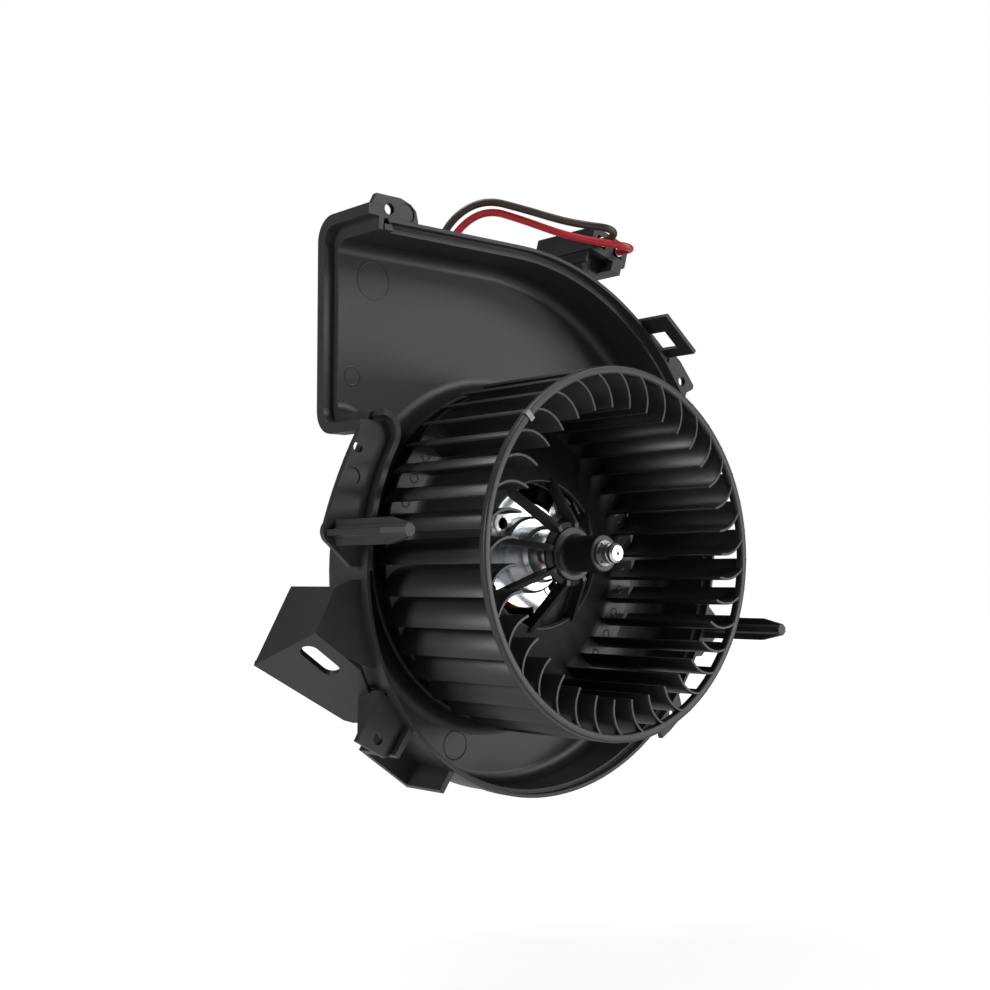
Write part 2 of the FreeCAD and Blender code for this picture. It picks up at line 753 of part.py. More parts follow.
def wheel_bowl():
    # Flat disc behind the blades, drawn forward as a cone to the opening over the motor
    shoulder = blade_inner_radius - bowl_shoulder
    back = wheel_disc_front + wheel_disc_thickness
    front_edge = vec(bowl_opening_radius, bowl_opening_front, 0)
    slope = (vec(shoulder, wheel_disc_front, 0) - front_edge).normalize()
    offset = vec(-slope.y, slope.x, 0) * bowl_wall
    rise = (back - offset.y - bowl_opening_front) / slope.y
    inner_shoulder = front_edge + offset + slope * rise
    return revolved(rounded(
        [front_edge, vec(shoulder, wheel_disc_front, 0), vec(wheel_disc_radius, wheel_disc_front, 0),
         vec(wheel_disc_radius, back, 0), inner_shoulder, front_edge + offset],
        [0.6, bowl_fillet, 0.3, 0.3, bowl_fillet - bowl_wall, 0.6]))


def wheel_hub():
    # Boss with a flared flange and a skirt that the spokes grow from
    hub_back = hub_flange_front + hub_flange_thickness
    skirt = hub_flange_radius + hub_skirt
    end = hub_back + hub_skirt + 1.5
    return revolved(rounded(
        [vec(0, boss_front, 0), vec(boss_radius, boss_front, 0), vec(boss_radius, hub_flange_front, 0),
         vec(hub_flange_radius, hub_flange_front, 0), vec(hub_flange_radius, hub_flange_front + hub_edge, 0),
         vec(skirt, hub_back, 0), vec(skirt, hub_back + 1.2, 0), vec(boss_radius, end, 0), vec(0, end, 0)],
        [0.0, 0.5, 1.8, 0.6, 0.2, 0.4, 0.3, 0.3, 0.0]))


def wheel_spoke():
    # Bar with a short flat root on the hub, then a straight run to the edge of the bowl
    h = spoke_width / 2.0
    root = hub_flange_front + spoke_shelf
    back = root + spoke_depth + 1.0
    rim = bowl_opening_radius
    outline = rounded(
        [vec(boss_radius, root, -h), vec(hub_flange_radius + hub_skirt, root, -h),
         vec(rim + 1.2, bowl_opening_front - 0.4, -h), vec(rim + 2.6, bowl_opening_front + 1.4, -h),
         vec(rim - 0.4, bowl_opening_front + spoke_depth, -h),
         vec(hub_flange_radius, back, -h), vec(boss_radius, back, -h)],
        [0.0, 1.0, 0.8, 0.4, 0.6, 1.0, 0.0])
    bar = Part.Face(outline).extrude(vec(0, 0, spoke_width))
    long_edges = [e for e in bar.Edges if abs(e.BoundBox.ZLength) < 0.01 and e.Length > spoke_depth
                  and e.BoundBox.YMax < bowl_opening_front - 1.0]
    return bar.makeFillet(spoke_width * 0.3, long_edges)


def blower_wheel():
    spoke = wheel_spoke()
    spokes = [turn_about_axis(spoke, spoke_phase + i * 360.0 / spoke_count) for i in range(spoke_count)]
    one = blade()
    blades = [turn_about_axis(one, blade_phase + i * 360.0 / blade_count) for i in range(blade_count)]
    wheel = joined([wheel_ring(), wheel_bowl(), wheel_hub()] + spokes + blades)
    return wheel.cut(disc(shaft_radius + press_clearance, boss_front - 1.0, wheel_disc_front))


def motor_shaft():
    c = shaft_chamfer
    waist = shaft_radius - shaft_groove_depth
    front, back = shaft_groove
    shaft = turned([(0.0, shaft_front), (shaft_radius - c, shaft_front), (shaft_radius, shaft_front + c),
                    (shaft_radius, front), (waist, front), (waist, back), (shaft_radius, back),
                    (shaft_radius, shaft_back - c), (shaft_radius - c, shaft_back), (0.0, shaft_back)])
    mark = shaft_centre_mark
    return shaft.cut(Part.makeCone(mark, 0.0, mark, vec(0, shaft_front, 0), axis_y))


def wheel_clip():
    # Flat push-on ring in front of the hub, with short slots between its teeth
    inner = shaft_radius + press_clearance
    front = boss_front - clip_thickness
    ring = tube(clip_radius, inner, front, boss_front)
    half = clip_slot_width / 2.0
    slot = box(inner - 0.5, inner + clip_slot_depth, front - 1, boss_front + 1, -half, half)
    return ring.cut([turn_about_axis(slot, i * 360.0 / clip_slots) for i in range(clip_slots)])


def blade_lean(radius):
    # How far, in degrees, a blade has curved forward where it crosses the given radius
    start = blade_inner_radius + blade_straight
    r = blade_bend_radius
    run, rise = 2.0 * start * r, 2.0 * r * r
    bend = atan2(rise, run) + asin((radius ** 2 - start ** 2 - rise) / (run ** 2 + rise ** 2) ** 0.5)
    return degrees(atan2(r - r * cos(bend), start + r * sin(bend)))


def balance_clip():
    # Small steel staple pushed on the front ring midway between two blades, open towards the back
    outer = wheel_radius + press_clearance
    inner = wheel_radius - ring_wall - press_clearance
    front = wheel_front - press_clearance
    t = balance_thickness
    h = balance_width / 2.0
    whole = box(inner - t, outer + t, front - t, front + balance_reach, -h, h)
    hollow = box(inner, outer, front, front + balance_reach + 1.0, -h - 1.0, h + 1.0)
    between = blade_phase + blade_lean(wheel_radius - ring_wall) - 180.0 / blade_count
    return turn_about_axis(whole.cut(hollow), between)


front_bearing_y = shield_nose_front + shield_thickness
rear_bearing_y = can_back + pocket_depth - can_wall - bearing_length
bore = shaft_radius + running_clearance
pocket_radius = shield_nose_radius - shield_thickness


def bearing(y):
    # Sintered bush with a barrel-shaped outside
    r = bearing_radius
    end = y + bearing_length
    land = bearing_length / 4.0
    return turned([(bore, y), (r - bearing_taper, y), (r, y + land), (r, end - land),
                   (r - bearing_taper, end), (bore, end)])


def bearing_retainer(y):
    # Spring ring that holds the bush in its pocket
    ring = tube(pocket_radius, bearing_radius + press_clearance, y, y + retainer_thickness)
    notch = box(bearing_radius - 1.0, bearing_radius + 1.4, y - 1, y + 2, -0.8, 0.8)
    return ring.cut([turn_about_axis(notch, 30.0 + i * 60.0) for i in range(6)])


def thrust_washer(y):
    return tube(washer_radius, shaft_radius + press_clearance, y, y + washer_thickness)


def motor_end_shield():
    # Drawn steel front end that holds the front bearing in its nose
    t = shield_thickness
    rim = can_radius - can_wall
    n, s = shield_nose_radius, shield_step_radius
    front = [(bore + 1.2, shield_nose_front), (n - 1.5, shield_nose_front), (n, shield_nose_front + 1.5),
             (n, shield_step_front), (s - 1.2, shield_step_front), (s, shield_step_front + 1.2),
             (s, can_front), (rim, can_front)]
    back = [(rim, can_front + t), (s - t, can_front + t), (s - t, shield_step_front + t),
            (pocket_radius, shield_step_front + t), (pocket_radius, shield_nose_front + t),
            (bore + 1.2, shield_nose_front + t)]
    shield = turned(front + back)
    places = [polar(ear_circle_radius, ear_angle + a) for a in (0, 180)]
    ears = [disc(ear_radius, can_front - 0.6, can_front + t, p.x, p.z) for p in places]
    holes = [disc(ear_hole_radius, 0, 10, p.x, p.z) for p in places]
    h = window_half
    window = slab(Part.Wire([arc((0, 0), window_outer, -h, h),
                             line(polar(window_outer, h), polar(window_inner, h)),
                             arc((0, 0), window_inner, h, -h),
                             line(polar(window_inner, -h), polar(window_outer, -h))]), 0, 20)
    windows = [turn_about_axis(window, ear_angle + a) for a in (60, 120, 240, 300)]
    return joined([shield] + ears).cut(holes + windows)


def motor_can():
    # Drawn cup with a bearing pocket in its closed end, staked over the front end
    o, i = can_radius, can_radius - can_wall
    end = can_back + pocket_depth
    shell = turned([(i, can_front - 0.6), (o, can_front - 0.6), (o, can_back - 2.0), (o - 2.0, can_back),
                    (pocket_radius + can_wall, can_back), (pocket_radius + can_wall, end), (0.0, end),
                    (0.0, end - can_wall), (pocket_radius, end - can_wall),
                    (pocket_radius, can_back - can_wall), (i, can_back - can_wall)])
    x, y = grommet_centre
    lead_slot = stadium(grommet_neck_length - 2.0, grommet_neck_width, x, y, i - 4.0, o + 1.0)
    half = stake_width / 2.0
    fold = can_front - 0.6
    front = fold - stake_depth
    stake = box(i - 3.0, o, front, fold, -half, half).fuse(box(i, o, front, can_front, -half, half))
    return joined([shell.cut(lead_slot)] + [turn_about_axis(stake, a) for a in (45, 135, 225, 315)])


def magnet(middle):
    r = can_radius - can_wall
    half = magnet_span / 2.0
    outline = Part.Wire([arc((0, 0), r, middle - half, middle + half),
                         line(polar(r, middle + half), polar(r - magnet_thickness, middle + half)),
                         arc((0, 0), r - magnet_thickness, middle + half, middle - half),
                         line(polar(r - magnet_thickness, middle - half), polar(r, middle - half))])
    return slab(outline, magnet_front, magnet_front + magnet_length)


core_radius = can_radius - can_wall - magnet_thickness - air_gap
core_front = magnet_front + (magnet_length - core_length) / 2.0
core_back = core_front + core_length
commutator_front = core_back + winding_overhang + 1.5


def armature_core():
    # Stack with twelve T-shaped teeth
    core = tube(core_radius, shaft_radius + press_clearance, core_front, core_back)
    h = core_slot_width / 2.0
    throat = box(core_radius - core_slot_depth, core_radius + 1.0, core_front - 1, core_back + 1, -h, h)
    return core.cut([turn_about_axis(throat, i * 360.0 / core_slots) for i in range(core_slots)])


def armature_windings():
    # Copper in the slots, joined by the two end turns
    h = core_slot_width / 2.0 - 0.1
    outer = core_radius - 1.2
    inner = core_radius - core_slot_depth + 0.1
    root = shaft_radius + 3.0
    tip = core_front - winding_overhang
    front = turned([(root, tip + 1.0), (root + 2.0, tip), (outer - 3.0, tip), (outer, tip + 3.0),
                    (outer, core_front), (root, core_front)])
    tip = core_back + winding_overhang
    rear = turned([(root, core_back), (outer, core_back), (outer, tip - 3.0), (outer - 3.0, tip),
                   (root + 2.0, tip), (root, tip - 1.0)])
    bar = box(inner, outer - 0.5, core_front - 0.5, core_back + 0.5, -h, h)
    return joined([front, rear] + [turn_about_axis(bar, i * 360.0 / core_slots) for i in range(core_slots)])


def commutator():
    # Copper ring cut into bars
    back = commutator_front + commutator_length
    ring = tube(commutator_radius, shaft_radius + press_clearance, commutator_front, back)
    h = commutator_gap / 2.0
    gap = box(commutator_radius - 1.5, commutator_radius + 1, commutator_front - 1, back + 1, -h, h)
    pitch = 360.0 / commutator_bars
    return ring.cut([turn_about_axis(gap, (i + 0.5) * pitch) for i in range(commutator_bars)])


brush_y = commutator_front + commutator_length / 2.0
brush_end = commutator_radius + brush_length
holder_reach = brush_end + brush_travel + 4.0


def brush(side):
    # Carbon block that rides on the commutator; side is 1 above it and -1 below it
    w = brush_width / 2.0
    block = box(-w, w, brush_y - w, brush_y + w, commutator_radius - 1.0, brush_end)
    block = block.cut(disc(commutator_radius + brush_gap, brush_y - 10, brush_y + 10))
    return block if side > 0 else turn_about_axis(block, 180.0)


def brush_holder(side):
    # Folded brass box, open towards the commutator
    w = brush_width / 2.0 + brush_clearance
    o = w + holder_wall
    z0 = commutator_radius + 3.0
    body = box(-o, o, brush_y - o, brush_y + o, z0, holder_reach + holder_wall)
    body = body.cut(box(-w, w, brush_y - w, brush_y + w, z0 - 1, holder_reach))
    return body if side > 0 else turn_about_axis(body, 180.0)


def brush_spring(side):
    # Coil between the brush and the holder's end
    z0 = brush_end + spring_gap
    height = holder_reach - spring_gap - z0
    r = spring_wire
    helix = Part.makeHelix((height - 2 * r) / spring_turns, height - 2 * r, spring_radius - r)
    section = Part.Wire(Part.Circle(vec(spring_radius - r, 0, 0), axis_y, r).toShape())
    coil = Part.Wire(helix).makePipeShell([section], True, True)
    coil.translate(vec(0, brush_y, z0 + r))
    return coil if side > 0 else turn_about_axis(coil, 180.0)


card_front = brush_y + brush_width / 2.0 + brush_clearance + holder_wall


def brush_card():
    # Insulating ring that carries the two holders and the leads' ends
    rim = can_radius - can_wall
    card = tube(rim, commutator_radius + 2.5, card_front, card_front + card_thickness)
    notch = box(rim - 7.0, rim + 1.0, card_front - 1, card_front + 9, -5.0, 5.0)
    return card.cut([turn_about_axis(notch, a) for a in (0, 180)])


def connector_middle():
    return lip_place(connector_angle) + at_depth(connector_centre, 0.0)


def terminal_axis(place, y):
    # Where a terminal's own place in the connector comes to lie above the roof
    x, z = place
    lean = radians(connector_tilt)
    middle = connector_middle()
    return vec(middle.x + x * cos(lean) + z * sin(lean), y, middle.z - x * sin(lean) + z * cos(lean))


# Routes of the two leads, from the brush card through the grommet and over the roof to the terminals
brown_route = [vec(-6.6, 68.0, 30.0), vec(-6.6, 67.9, 54.0), vec(-8.0, 65.5, 80.0),
               vec(-12.0, 61.0, 106.0), vec(-15.0, 53.0, 130.0), vec(-11.5, 45.5, 150.5),
               vec(2.0, 36.5, 161.8), vec(16.0, 23.5, 156.6), vec(26.5, 9.5, 150.4),
               vec(33.4, -1.0, 147.4), vec(38.8, -6.2, 146.4), vec(44.8, -5.3, 145.2),
               terminal_axis(terminal_places[0], 1.5), terminal_axis(terminal_places[0], 7.5)]
red_route = [vec(-0.6, 68.0, 30.0), vec(-0.6, 67.9, 54.0), vec(-2.5, 65.5, 80.0),
             vec(-7.0, 60.5, 105.0), vec(-10.5, 52.5, 127.0), vec(-8.5, 45.0, 146.0),
             vec(4.0, 37.0, 157.6), vec(17.0, 25.5, 152.2), vec(28.0, 14.0, 146.0),
             vec(37.5, 4.5, 142.4), vec(45.0, -3.2, 140.6), vec(51.0, -6.3, 139.8),
             vec(56.6, -4.0, 139.9), terminal_axis(terminal_places[1], 1.8),
             terminal_axis(terminal_places[1], 7.4)]


def route_tube(points, radius, name):
    # Straight runs joined by arcs that are as large as the shorter run allows
    edges = []
    here = points[0]
    radii = []
    length = 0.0
    for before, corner, after in zip(points, points[1:], points[2:]):
        into = (corner - before).normalize()
        out = (after - corner).normalize()
        turn = into.getAngle(out)
        reach = 0.45 * min((corner - before).Length, (after - corner).Length)
        bend = reach / tan(turn / 2.0)
        radii.append(round(bend, 1))
        start = corner - into * reach
        end = corner + out * reach
        middle = corner + (out - into).normalize() * (bend / cos(turn / 2.0) - bend)
        edges += [line(here, start), Part.Arc(start, middle, end).toShape()]
        length += (start - here).Length + bend * turn
        here = end
    edges.append(line(here, points[-1]))
    length += (points[-1] - here).Length
    section = Part.Wire(Part.Circle(points[0], points[1] - points[0], radius).toShape())
    solid = Part.Wire(edges).makePipe(Part.Face(section))
    print("%s length %.1f mm, ratio %.4f" % (name, length, solid.Volume / (pi * radius ** 2 * length)), radii)
    return solid


def connector_shape(shape):
    # Moves a shape from the connector's own frame to its place above the roof
    placed = shape.copy()
    placed.rotate(origin, axis_y, connector_tilt)
    placed.translate(connector_middle())
    return placed


def connector_holder():
    # Moulded post on the roof, with a head that the connector's rails slide over
    h = connector_height / 2.0
    y0 = connector_front + holder_setback
    gap = rail_clearance
    head = box(rail_wall - rail_reach + gap, rail_reach - rail_block - gap, y0, y0 + holder_head_length,
               -h - rail_depth - 1.2, -h - gap)
    stem = box(holder_stem[0], holder_stem[1], y0, y0 + holder_stem_length,
               -h - holder_stem_height, -h - rail_depth)
    return [connector_shape(head), connector_shape(stem)]


def connector_body():
    # Two-pole plug housing: open socket at the back, two cavities for the crimps at the front
    w, h = connector_width / 2.0, connector_height / 2.0
    y0, y1 = connector_front, connector_front + connector_length
    block = box(-w, w, y0, y1, -h, h)
    back = y0 + rail_length
    rails = [box(-rail_reach, rail_wall - rail_reach, y0 + rail_setback, back, -h - rail_depth, 0),
             box(rail_reach - rail_block, rail_reach, y0, back, -h - rail_depth, 0)]
    c = connector_wall
    socket = box(-w + c, w - c, y1 - socket_depth, y1 + 1.0, -h + c, h - c)
    across = terminal_width / 2.0 + terminal_clearance
    up = terminal_thickness / 2.0 + terminal_clearance
    cuts = [socket]
    end = y0 + cavity_depth
    for x, z in terminal_places:
        cuts.append(box(x - cavity_half_width, x + cavity_half_width, y0 - 1.0, end,
                        z - cavity_half_height, z + cavity_half_height))
        cuts.append(box(x - across, x + across, end - 1.0, y1 - socket_depth + 1.0, z - up, z + up))
    return connector_shape(joined([block] + rails).cut(cuts))


def connector_terminals():
    # Crimp barrels on the leads, each with a flat blade that reaches into the socket
    y0, y1 = connector_front, connector_front + connector_length
    inner = lead_radius + terminal_clearance
    t = terminal_thickness / 2.0
    made = []
    for x, z in terminal_places:
        barrel = tube(inner + crimp_wall, inner, y0 - 0.8, y0 - 0.8 + crimp_length, x, z)
        neck = box(x - inner - 0.2, x + inner + 0.2, y0 + 3.0, y0 + cavity_depth, z - t, z + t)
        w = terminal_width / 2.0
        flat_blade = box(x - w, x + w, y0 + cavity_depth - 0.5, y1 - 3.0, z - t, z + t)
        made.append(connector_shape(joined([barrel, neck, flat_blade])))
    return Part.makeCompound(made)


def isolator_ring():
    ring = tube(cup_radius, can_radius, isolator_front, isolator_front + isolator_length)
    middle = (cup_radius + can_radius) / 2.0
    holes = [turn_about_axis(disc(2.4, 20.0, 60.0, middle, 0.0), i * 30.0) for i in range(12)]
    return ring.cut(holes)


def main():
    save("scroll_housing", scroll_housing())
    save("isolator_ring", isolator_ring())
    save("motor_can", motor_can())
    save("motor_end_shield", motor_end_shield())
    save("magnet_left", magnet(180.0))
    save("magnet_right", magnet(0.0))
    save("front_bearing", bearing(front_bearing_y))
    save("rear_bearing", bearing(rear_bearing_y))
    middle = (bearing_length - retainer_thickness) / 2.0
    save("front_bearing_retainer", bearing_retainer(front_bearing_y + middle))
    save("rear_bearing_retainer", bearing_retainer(rear_bearing_y + middle))
    save("brush_card", brush_card())
    save("brush_holder_upper", brush_holder(1))
    save("brush_holder_lower", brush_holder(-1))
    save("brush_spring_upper", brush_spring(1))
    save("brush_spring_lower", brush_spring(-1))
    save("lead_grommet", lead_grommet())
    save("lead_brown", route_tube(brown_route, lead_radius, "lead_brown"))
    save("lead_red", route_tube(red_route, lead_radius, "lead_red"))
    save("connector_body", connector_body())
    save("connector_terminals", connector_terminals())
    save("blower_wheel", blower_wheel())
    save("motor_shaft", motor_shaft())
    save("wheel_clip", wheel_clip())
    save("balance_clip", balance_clip())
    save("armature_core", armature_core())
    save("armature_windings", armature_windings())
    save("commutator", commutator())
    save("thrust_washer_front", thrust_washer(front_bearing_y + bearing_length + washer_gap))
    save("thrust_washer_rear", thrust_washer(rear_bearing_y - washer_gap - washer_thickness))
    save("brush_upper", brush(1))
    save("brush_lower", brush(-1))


main()
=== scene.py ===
import json
import math
import bmesh
import bpy
from mathutils import Matrix, Vector


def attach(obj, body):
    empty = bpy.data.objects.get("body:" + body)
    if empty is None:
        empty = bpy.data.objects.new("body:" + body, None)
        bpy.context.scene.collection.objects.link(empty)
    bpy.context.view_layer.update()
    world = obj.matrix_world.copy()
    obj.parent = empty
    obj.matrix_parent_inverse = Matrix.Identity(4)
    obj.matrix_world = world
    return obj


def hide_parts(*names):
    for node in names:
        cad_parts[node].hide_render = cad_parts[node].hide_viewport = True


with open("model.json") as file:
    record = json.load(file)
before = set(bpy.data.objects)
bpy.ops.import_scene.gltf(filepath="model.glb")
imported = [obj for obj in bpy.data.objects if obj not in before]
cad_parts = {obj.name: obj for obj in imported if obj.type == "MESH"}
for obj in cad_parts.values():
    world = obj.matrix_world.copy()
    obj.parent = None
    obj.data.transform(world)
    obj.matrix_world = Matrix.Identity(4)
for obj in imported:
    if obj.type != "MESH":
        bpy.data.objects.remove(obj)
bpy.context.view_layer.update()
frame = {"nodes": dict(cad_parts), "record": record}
nodes = frame["nodes"]
mm = 0.001

# Camera of the photograph: low, to the left of the open side
camera = {
    "place": (-0.4175, -0.4511, -0.0112),
    "turn": 41.2,       # degrees from +Y towards +X
    "tilt": 3.42,       # degrees up
    "lens": 52.35,
    "sensor": 36.0,
    "nearest": 0.01,
}

optics = bpy.data.cameras.new("photoCamera")
optics.lens = camera["lens"]
optics.sensor_width = camera["sensor"]
optics.clip_start = camera["nearest"]
viewer = bpy.data.objects.new("photoCamera", optics)
viewer.location = camera["place"]
viewer.rotation_euler = (math.radians(90 + camera["tilt"]), 0, -math.radians(camera["turn"]))
bpy.context.scene.collection.objects.link(viewer)
bpy.context.scene.camera = viewer
print("camera ready")


class Socket:
    # One output of a node, so that shader maths reads as plain arithmetic
    def __init__(self, maker, output):
        self.maker = maker
        self.output = output

    def __add__(self, other):
        return self.maker.maths("ADD", self, other)

    def __radd__(self, other):
        return self.maker.maths("ADD", other, self)

    def __sub__(self, other):
        return self.maker.maths("SUBTRACT", self, other)

    def __rsub__(self, other):
        return self.maker.maths("SUBTRACT", other, self)

    def __mul__(self, other):
        return self.maker.maths("MULTIPLY", self, other)

    def __rmul__(self, other):
        return self.maker.maths("MULTIPLY", other, self)

    def __truediv__(self, other):
        return self.maker.maths("DIVIDE", self, other)

    def __rtruediv__(self, other):
        return self.maker.maths("DIVIDE", other, self)

    def __pow__(self, other):
        return self.maker.maths("POWER", self, other)

    def __rpow__(self, other):
        return self.maker.maths("POWER", other, self)

    def __abs__(self):
        return self.maker.maths("ABSOLUTE", self)

    def clamp(self):
        return self.maker.node("ShaderNodeClamp", {}, {"Value": self})


class Maker:
    # Builds the nodes of one material or world
    def __init__(self, owner):
        owner.use_nodes = True
        self.owner = owner
        self.tree = owner.node_tree
        self.tree.nodes.clear()

    def make(self, kind, settings, inputs):
        made = self.tree.nodes.new(kind)
        for key, value in settings.items():
            setattr(made, key, value)
        for key, value in inputs.items():
            if isinstance(value, Socket):
                self.tree.links.new(value.output, made.inputs[key])
            else:
                made.inputs[key].default_value = value
        return made

    def node(self, kind, settings, inputs, output=0):
        return Socket(self, self.make(kind, settings, inputs).outputs[output])

    def maths(self, operation, *values):
        return self.node("ShaderNodeMath", {"operation": operation}, dict(enumerate(values)))

    def surface(self, **inputs):
        # The shader's sockets by name, with _ for a space
        named = {key.replace("_", " "): value for key, value in inputs.items()}
        return self.node("ShaderNodeBsdfPrincipled", {}, named)

    def end(self, surface, kind="ShaderNodeOutputMaterial"):
        self.make(kind, {}, {"Surface": surface})
        return self.owner

    def place(self):
        return self.node("ShaderNodeTexCoord", {}, {}, "Object")

    def stretched(self, scale):
        return self.node("ShaderNodeMapping", {}, {"Vector": self.place(), "Scale": scale})

    def noise(self, values, stretch=None):
        # Values are the scale, the detail and the roughness of the pattern
        vector = self.stretched(stretch) if stretch else self.place()
        scale, detail, rough = values
        inputs = {"Vector": vector, "Scale": scale, "Detail": detail, "Roughness": rough}
        return self.node("ShaderNodeTexNoise", {}, inputs, "Fac")

    def spread(self, value, low, high, start, end):
        inputs = {"Value": value, "From Min": low, "From Max": high, "To Min": start, "To Max": end}
        return self.node("ShaderNodeMapRange", {}, inputs)

    def mix(self, factor, first, second):
        first, second = [c if isinstance(c, Socket) else (*c, 1) for c in (first, second)]
        return self.node("ShaderNodeMix", {"data_type": "RGBA"}, {0: factor, 6: first, 7: second}, 2)

    def axes(self):
        # The three parts of a point on the object, in metres
        parts = self.make("ShaderNodeSeparateXYZ", {}, {"Vector": self.place()})
        return [Socket(self, output) for output in parts.outputs]

    def softEdges(self, radius):
        # Lets sharp edges catch the light as a moulded or drawn edge does
        return self.node("ShaderNodeBevel", {"samples": 6}, {"Radius": radius})

    def bump(self, height, strength, distance, normal=None):
        inputs = {"Height": height, "Strength": strength, "Distance": distance}
        if normal is not None:
            inputs["Normal"] = normal
        return self.node("ShaderNodeBump", {}, inputs)


def newMaker(name):
    return Maker(bpy.data.materials.new(name))


# The fan wheel, in mm and degrees; hub and spoke are (radius, y) outlines
wheel = {
    "radius": 75.0,
    "front": -54.0,
    "ring": 3.5,
    "ringLength": 3.0,
    "ringRadii": [1.1, 0.8, 0.3, 0.3],
    "disc": 10.8,
    "discRadius": 71.2,
    "discThickness": 2.0,
    "shoulder": 57.0,
    "opening": (31.3, -5.0),
    "wall": 1.8,
    "fillet": 9.0,
    "openingFillet": 0.6,
    "discFillet": 0.3,
    "blades": 37,
    "phase": 136.35,
    "bladeStart": 58.0,
    "straight": 2.5,
    "bend": 13.5,
    "bendAngle": 79.0,
    "bendSteps": 16,
    "noseSteps": 6,
    "thickness": 1.1,
    "tipThinning": 0.1,     # share of the thickness lost towards the tip
    "bladeSetback": 0.15,   # behind the ring's front
    "bladeRoot": 0.5,       # into the disc
    "bladeEdge": 0.1,
    "edgeDraw": 0.8,        # share of the edge by which its outline is drawn in
    "spokes": 8,
    "spokePhase": 78.5,
    "spokeWidth": 2.5,
    "spokeEdge": 0.4,
    "hub": [(4.03, -41.4), (7.5, -41.4), (7.5, -24.0), (11.2, -24.0), (11.2, -22.4), (13.4, -21.0),
            (13.4, -19.8), (7.5, -17.3), (4.03, -17.3)],
    "hubRadii": [0.3, 0.5, 1.8, 0.6, 0.2, 0.4, 0.3, 0.3, 0.1],
    "spoke": [(7.5, -23.2), (13.4, -23.2), (32.5, -5.4), (33.9, -3.6), (30.9, -1.0), (11.2, -18.2),
              (7.5, -18.2)],
    "spokeRadii": [0.0, 1.0, 0.8, 0.4, 0.6, 1.0, 0.0],
    "rimSteps": 222,        # faces round the ring and the disc
    "hubSteps": 96,
    "softAngle": 40,        # edges blunter than this are shaded smooth
}

# Black plastics: two tones, roughness, fine grain in 1/m and m, and the radius of the bright edges in m
housingPlastic = {
    "dark": (0.021, 0.0215, 0.0225),
    "pale": (0.031, 0.0315, 0.0325),
    "roughness": (0.4, 0.52),
    "grain": 2600.0,
    "grainDepth": 0.00003,
    "edge": 0.00035,
}
wheelPlastic = {
    "dark": (0.020, 0.0202, 0.0212),
    "pale": (0.029, 0.0292, 0.030),
    "roughness": (0.38, 0.48),
    "grain": 3000.0,
    "grainDepth": 0.00002,
    "edge": 0.00025,
}
connectorPlastic = {
    "dark": (0.014, 0.014, 0.015),
    "pale": (0.022, 0.022, 0.024),
    "roughness": (0.38, 0.46),
    "grain": 3000.0,
    "grainDepth": 0.00002,
    "edge": 0.0004,
}
moulding = {
    "broad": (16.0, 3.0, 0.55),
    "streaks": (7.0, 5.0, 0.6),
    "flow": (1.0, 6.0, 2.5),
    "broadShare": 0.6,
    "grainStrength": 0.25,
    "markStrength": 0.6,
    "markHeight": 0.0002,
}


def mouldedPlastic(name, look, marks=None):
    # Satin black plastic: fine grain, flow streaks and edges that catch the light
    m = newMaker(name)
    streaks = m.noise(moulding["streaks"], moulding["flow"])
    share = moulding["broadShare"]
    tone = (m.noise(moulding["broad"]) * share + streaks * (1 - share)).clamp()
    colour = m.mix(tone, look["dark"], look["pale"])
    low, high = look["roughness"]
    rough = m.spread(streaks, 0.3, 0.7, low, high)
    normal = m.softEdges(look["edge"])
    if marks:
        raised, colour = marks(m, colour)
        normal = m.bump(raised, moulding["markStrength"], moulding["markHeight"], normal)
    grain = m.noise((look["grain"], 2.0, 0.5))
    normal = m.bump(grain, moulding["grainStrength"], look["grainDepth"], normal)
    return m.end(m.surface(Base_Color=colour, Roughness=rough, Normal=normal))


def near(distance, width):
    # 1 at no distance, falling to 0 at the width
    return (1.0 - abs(distance) / width).clamp()


def apart(across, along):
    return (across ** 2.0 + along ** 2.0) ** 0.5


# Marks on the scroll's floor: ejector circles as (x, z, radius), and flow marks that fan out from the gate
floorMarks = {
    "depth": 0.028,
    "level": 0.0008,
    "rings": [(-0.0654, 0.1134, 0.0080), (-0.0758, 0.0726, 0.0038), (-0.0208, -0.0813, 0.0062)],
    "width": 0.00035,
    "gate": (-0.0654, 0.1134),
    "gateRadius": 0.006,
    "reach": 0.055,
    "fan": (30.0, 6.0, 0.65),
    "fanStretch": (2.2, 1.0, 0.7),
    "fanRange": (0.55, 0.8),
    "scuff": (0.075, 0.075, 0.077),
    "scuffShare": 0.45,
    "ringShare": 0.3,
}


def scrollMarks(m, colour):
    x, y, z = m.axes()
    level = near(y - floorMarks["depth"], floorMarks["level"])
    rings = 0.0
    for ringX, ringZ, radius in floorMarks["rings"]:
        rings = near(apart(x - ringX, z - ringZ) - radius, floorMarks["width"]) + rings
    gateX, gateZ = floorMarks["gate"]
    fade = m.spread(apart(x - gateX, z - gateZ), floorMarks["gateRadius"], floorMarks["reach"], 1.0, 0.0)
    fan = m.spread(m.noise(floorMarks["fan"], floorMarks["fanStretch"]), *floorMarks["fanRange"], 0.0, 1.0)
    raised = rings * level
    worn = (fan * fade * level * floorMarks["scuffShare"] + raised * floorMarks["ringShare"]).clamp()
    return raised, m.mix(worn, colour, floorMarks["scuff"])


# Marks on the wheel's disc: one small ejector circle in every gap between two blades
discMarks = {
    "level": 0.0006,
    "circle": 0.0645,
    "radius": 0.00185,
    "width": 0.0003,
    "gapShare": 0.585,      # where the circle lies between one blade and the next
    "pale": (0.06, 0.06, 0.062),
    "share": 0.5,
}


